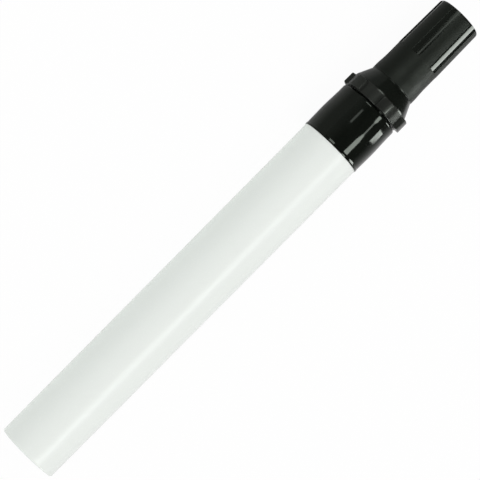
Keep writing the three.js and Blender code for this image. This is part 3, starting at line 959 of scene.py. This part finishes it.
def cap_lugs(sizes, spots):
    """Lugs with rounded far corners, far ends that lean back and softened outer faces."""
    start = CAP_START + sizes.lug_set
    height = LUG_REACH - spots.band
    sunk = 0.4 * MM
    lugs = []
    for lug in range(sizes.lug_count):
        plate = block((sizes.lug_length, sizes.lug_width, height + sunk), sizes.lug_corner)
        top = [vert for vert in plate.verts if vert.co.z > height]
        for vert in top:
            if vert.co.x > sizes.lug_length / 2:
                vert.co.x -= sizes.lug_slope
        rim = [edge for edge in plate.edges if edge.verts[0] in top and edge.verts[1] in top]
        rounded(plate, rim, sizes.lug_edge, ROUND_SEGMENTS)
        sliced_across(plate, sizes.lug_width, LUG_SLICES)
        moved(plate, (start, 0, -sunk))
        angle = FULL_TURN * (lug + 0.5) / sizes.lug_count
        bent_round(plate, lambda along: spots.band, angle)
        lugs.append(plate)
    return lugs


def cap_flutes(sizes, spots):
    """Cutters for the flutes: square lower ends, leaning floors that follow the taper, broken rims."""
    proud = 0.6 * MM
    floor_round = 0.08 * MM
    size = (sizes.flute_length + PAST_END, sizes.flute_width, sizes.flute_depth + proud)
    cutters = []

    def widen(along, across, height):
        flare = max(0, height + sizes.flute_rim)
        if along < spots.flute_start + sizes.flute_corner:
            along -= flare
        return along, across + math.copysign(flare, across) * min(1, abs(across) / (sizes.flute_width / 2))

    for flute in range(sizes.flute_count):
        cutter = block(size, sizes.flute_corner, FLUTE_CORNER_SEGMENTS)
        rotated(cutter, FULL_TURN / 2, "Z")
        moved(cutter, (CAP_END + PAST_END, 0, 0))
        floor_rim = [
            edge for edge in cutter.edges
            if all(vert.co.z < WELD for vert in edge.verts)
            and not all(vert.co.x > CAP_END for vert in edge.verts)
        ]
        rounded(cutter, floor_rim, floor_round, FLOOR_EDGE_SEGMENTS)
        sliced_across(cutter, sizes.flute_width, FLUTE_SLICES)
        moved(cutter, (0, 0, -sizes.flute_depth))
        sliced(cutter, (0, 0, -sizes.flute_rim), (0, 0, 1))
        for vert in cutter.verts:
            if vert.co.z < 0:
                vert.co.z *= 1 - 2 * sizes.flute_lean * vert.co.y / sizes.flute_width
        angle = FULL_TURN * flute / sizes.flute_count
        bent_round(cutter, lambda along: ridge_radius(sizes, spots, along), angle, widen)
        cutters.append(cutter)
    return cutters


class MARKER_OT_inner_cap(PieceOperator):
    """Adds the soft inner cap that seals round the nose"""

    bl_idname = "chalk_marker.inner_cap"
    bl_label = "Inner cap"

    def execute(self, context):
        sizes = settings(context, "cap")
        bore = INNER_CAP_RADIUS - sizes.inner_wall
        inside = INNER_CAP_END - sizes.inner_end
        mesh = turned([
            (inside, 0, 0),
            (inside, bore, FULL),
            (INNER_CAP_MOUTH + sizes.inner_lead, bore, SLIGHT),
            (INNER_CAP_MOUTH, bore + sizes.inner_lead, FINE),
            (INNER_CAP_MOUTH, INNER_CAP_RADIUS, FINE),
            (INNER_CAP_END, INNER_CAP_RADIUS, ROUND),
            (INNER_CAP_END, 0, 0),
        ])
        material = finish(context, "inner_cap_milky")
        place_piece("inner_cap_cup", mesh, [material], "cap", "inner_cap")
        return {"FINISHED"}


class MARKER_OT_balls(PieceOperator):
    """Adds the two steel balls that stir the ink"""

    bl_idname = "chalk_marker.balls"
    bl_label = "Mixing balls"

    def execute(self, context):
        sizes = settings(context, "balls")
        steel = finish(context, "ball_polished")
        for number in (1, 2):
            node = f"mixing_ball_{number}"
            low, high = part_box(node)
            ball = bmesh.new()
            bmesh.ops.create_icosphere(ball, subdivisions=sizes.rings, radius=(high.z - low.z) / 2)
            moved(ball, (low + high) / 2)
            place_piece(f"steel_ball_{number}", ball, [steel], node, node)
        return {"FINISHED"}


# Studio

FLOOR_SEGMENTS = 128
SENSOR_WIDTH = 36
CAMERA_RANGE = (0.01, 50)

# The floor is pale under and behind the marker and darkens in front of it, from and to these distances
# from its axis in metres
FRONT_FADE = (0.001, 0.021)

# Fades of the glow along the horizon: direction, spread, first and last brightness
HORIZON_FADES = (
    ("Y", (-0.6, 0.4), 0.9, 0.2),
    ("Z", (0, 0.7), 1, 0.04),
    ("X", (0.28, 0.55), 1, 0.1),
)


def floor_finish(colours, studio):
    """A floor that the camera sees almost white, and light and gloss see darker in front of the marker."""
    material = bpy.data.materials.new("floor_pale")
    material.use_nodes = True
    tree = material.node_tree
    paths = add_node(tree, "LightPath", {}).outputs
    place = add_node(tree, "TexCoord", {}).outputs["Object"]
    across = add_node(tree, "SeparateXYZ", {"Vector": place}).outputs["Y"]
    unseen = calculated(tree, "SUBTRACT", 1, paths["Is Camera Ray"])
    front = ramp(tree, across, FRONT_FADE, 0, unseen, "SMOOTHSTEP")
    surface = tree.nodes["Principled BSDF"]
    tone = mixed_colour(tree, front, colours.floor, colours.floor_front)
    tree.links.new(tone, surface.inputs["Base Color"])
    surface.inputs["Roughness"].default_value = 1
    surface.inputs["Specular IOR Level"].default_value = 0
    factor = 0
    for kind, glow in (
        ("Is Camera Ray", studio.floor_glow),
        ("Is Glossy Ray", studio.gloss_glow),
        ("Is Transmission Ray", studio.gloss_glow),
    ):
        factor = calculated(tree, "MAXIMUM", calculated(tree, "MULTIPLY", paths[kind], glow), factor)
    white = add_node(tree, "Emission", {}).outputs["Emission"]
    mix = add_node(tree, "MixShader", {0: factor, 1: surface.outputs["BSDF"], 2: white})
    tree.links.new(mix.outputs["Shader"], tree.nodes["Material Output"].inputs["Surface"])
    return material


def build_world():
    """A glow along the horizon that fades in front of the marker, past its cap and towards the ceiling."""
    world = bpy.data.worlds.new("studio_walls")
    world.use_nodes = True
    tree = world.node_tree
    direction = add_node(tree, "TexCoord", {}).outputs["Generated"]
    parts = add_node(tree, "SeparateXYZ", {"Vector": direction}).outputs
    brightness = 1
    for part, spread, first, last in HORIZON_FADES:
        brightness = calculated(tree, "MULTIPLY", ramp(tree, parts[part], spread, first, last), brightness)
    background = tree.nodes["Background"]
    tree.links.new(brightness, background.inputs["Strength"])
    background.inputs["Color"].default_value = (1, 1, 1, 1)
    bpy.context.scene.world = world


def add_lamp(name, place, target, size, brightness, shows_in_gloss):
    """An area lamp of a brightness per area. Fill lamps light the colours, strips the gloss."""
    lamp = bpy.data.lights.new(name, "AREA")
    lamp.shape = "RECTANGLE"
    lamp.size, lamp.size_y = size
    lamp.energy = brightness * math.pi * size[0] * size[1]
    holder = added(name, lamp)
    back = (Vector(place) - Vector(target)).normalized()
    side = AXIS.cross(back).normalized()
    holder.matrix_world = Matrix((back.cross(side) * -1, side, back)).transposed().to_4x4()
    holder.location = place
    holder.visible_camera = False
    holder.visible_glossy = shows_in_gloss
    holder.visible_diffuse = not shows_in_gloss
    holder.visible_transmission = not shows_in_gloss
    return holder


def add_strip(name, studio, turn_low, turn_high, start, end, brightness):
    """A strip lamp along the marker, between two angles round it as the camera sees it mirrored."""
    distance = studio.lamp_distance
    low = studio.camera_angle + math.radians(turn_low)
    high = studio.camera_angle + math.radians(turn_high)
    angle = (low + high) / 2
    along = (start + end) / 2
    place = (along, -distance * math.sin(angle), distance * math.cos(angle))
    width = 2 * distance * math.tan((high - low) / 2)
    add_lamp(name, place, (along, 0, 0), (end - start, width), brightness, True)


# Lamp overhead: its width and its height above the marker in metres, and its colour
TOP_WIDTH = 2.4
TOP_HEIGHT = 1.3
TOP_TINT = (1, 0.97, 0.98)

# Lamps all round: their width, distance and height in metres, and their shares towards +X, +Y, -X and -Y
SIDE_WIDTH = 1.6
SIDE_DISTANCE = 1.6
SIDE_HEIGHT = 0.7
SIDE_SHARES = (1, 1.75, 0.85, 1)

# Panel on the dark part of the floor: its lengths along and across the marker, and its lift off the floor
PANEL = (0.9, 0.3)
PANEL_LIFT = 0.2 * MM

# The key strip: from and to along the marker in metres, width in degrees and share of its brightness
KEY_ANGLE = 49.6
KEY_STRIP = (
    (-0.45, 0.165, 17.6, 1),
    (0.1651, 0.195, 15.6, 1),
    (0.1951, 0.225, 12.6, 1),
    (0.2251, 0.248, 9.4, 1),
    (0.2481, 0.265, 6.8, 0.9),
    (0.2651, 0.31, 5, 0.5),
)

# Other strips: angles, from and to along the marker in metres, and share of the key strip's brightness
STRIPS = (
    ("side_strip", 84.3, 108.4, 0.258, 0.6, 1.3),
    ("front_strip", -15.5, -8.5, 0.258, 0.34, 0.2),
    ("front_strip_far", -24, 0, 0.341, 0.9, 0.5),
    ("back_strip_far", -20, 2, -0.9, -0.3, 0.6),
    ("back_side_strip", 84.3, 108.4, -0.9, -0.3, 1.3),
)


class MARKER_OT_studio(Operator):
    """Adds the pale floor, the soft lamps and the camera"""

    bl_idname = "chalk_marker.studio"
    bl_label = "Studio"
    bl_options = {"REGISTER", "UNDO"}

    def execute(self, context):
        studio = settings(context, "studio")
        self.add_floor(studio, settings(context, "colours"))
        build_world()
        self.add_lamps(studio)
        self.add_camera(context.scene, studio)
        context.scene.view_settings.view_transform = "Standard"
        return {"FINISHED"}

    def add_floor(self, studio, colours):
        disc = bmesh.new()
        bmesh.ops.create_circle(disc, cap_ends=True, segments=FLOOR_SEGMENTS, radius=studio.floor_radius)
        moved(disc, (0, 0, CAD_BOX[0].z))
        data = as_data("floor", disc)
        data.materials.append(floor_finish(colours, studio))
        added("floor", data)

    def add_lamps(self, studio):
        middle = (CAD_BOX[0] + CAD_BOX[1]) / 2
        overhead = middle + Vector((0, 0, TOP_HEIGHT))
        top = add_lamp("fill_top", overhead, middle, (TOP_WIDTH, TOP_WIDTH), studio.fill_top, False)
        top.data.color = TOP_TINT
        below = Vector((middle.x, PANEL[1] / 2, CAD_BOX[0].z + PANEL_LIFT))
        add_lamp("fill_floor", below, below + Vector((0, 0, 1)), PANEL, studio.fill_floor, False)
        for quarter, part in enumerate(SIDE_SHARES):
            angle = FULL_TURN * quarter / len(SIDE_SHARES)
            outward = Vector((math.cos(angle), math.sin(angle), 0)) * SIDE_DISTANCE
            place = middle + outward + Vector((0, 0, SIDE_HEIGHT))
            name = f"fill_side_{quarter + 1}"
            add_lamp(name, place, middle, (SIDE_WIDTH, SIDE_WIDTH), part * studio.fill_side, False)
        for number, (start, end, width, part) in enumerate(KEY_STRIP):
            low, high = KEY_ANGLE - width / 2, KEY_ANGLE + width / 2
            add_strip(f"key_strip_{number + 1}", studio, low, high, start, end, part * studio.strip)
        for name, low, high, start, end, part in STRIPS:
            add_strip(name, studio, low, high, start, end, part * studio.strip)

    def add_camera(self, scene, studio):
        angle = studio.camera_angle
        straight_back = Vector((0, -math.sin(angle), math.cos(angle)))
        place = AXIS * studio.camera_foot + straight_back * studio.camera_distance
        target = AXIS * studio.centre_along + AXIS.cross(straight_back) * studio.centre_across
        back = (place - target).normalized()
        along = (AXIS - back * AXIS.dot(back)).normalized()
        across = along.cross(back)
        roll = studio.camera_roll
        right = along * math.cos(roll) + across * math.sin(roll)
        up = along * math.sin(roll) - across * math.cos(roll)
        lens = bpy.data.cameras.new("studio_camera")
        lens.lens = studio.lens
        lens.sensor_width = SENSOR_WIDTH
        lens.clip_start, lens.clip_end = CAMERA_RANGE
        camera = added("studio_camera", lens)
        camera.matrix_world = Matrix((right, up, back)).transposed().to_4x4()
        camera.location = place
        scene.camera = camera


SIZE_GROUPS = {
    "barrel": BarrelSizes,
    "collar": CollarSizes,
    "nose": NoseSizes,
    "valve": ValveSizes,
    "cap": CapSizes,
    "balls": BallSizes,
    "colours": MarkerColours,
    "studio": StudioSettings,
}
OPERATORS = (
    MARKER_OT_barrel,
    MARKER_OT_collar,
    MARKER_OT_nose,
    MARKER_OT_nib,
    MARKER_OT_gasket,
    MARKER_OT_valve,
    MARKER_OT_cap,
    MARKER_OT_inner_cap,
    MARKER_OT_balls,
    MARKER_OT_studio,
)


class MARKER_PT_pieces(Panel):
    """Lists the pieces of the marker and the sizes that shape them"""

    bl_idname = "MARKER_PT_pieces"
    bl_label = "Liquid chalk marker"
    bl_space_type = "VIEW_3D"
    bl_region_type = "UI"
    bl_category = "Marker"

    def draw(self, context):
        for operator in OPERATORS:
            self.layout.operator(operator.bl_idname)
        for name, group in SIZE_GROUPS.items():
            column = self.layout.box().column(align=True)
            column.label(text=name.capitalize())
            for size in group.__annotations__:
                column.prop(settings(context, name), size)


def register():
    for group in SIZE_GROUPS.values():
        bpy.utils.register_class(group)
    for entry in (*OPERATORS, MARKER_PT_pieces):
        bpy.utils.register_class(entry)
    for name, group in SIZE_GROUPS.items():
        setattr(bpy.types.Scene, "chalk_marker_" + name, PointerProperty(type=group))


def unregister():
    for name in SIZE_GROUPS:
        delattr(bpy.types.Scene, "chalk_marker_" + name)
    for entry in (MARKER_PT_pieces, *reversed(OPERATORS), *SIZE_GROUPS.values()):
        bpy.utils.unregister_class(entry)


def main():
    register()
    for operator in OPERATORS:
        category, action = operator.bl_idname.split(".")
        getattr(getattr(bpy.ops, category), action)()


if __name__ == "__main__":
    main()
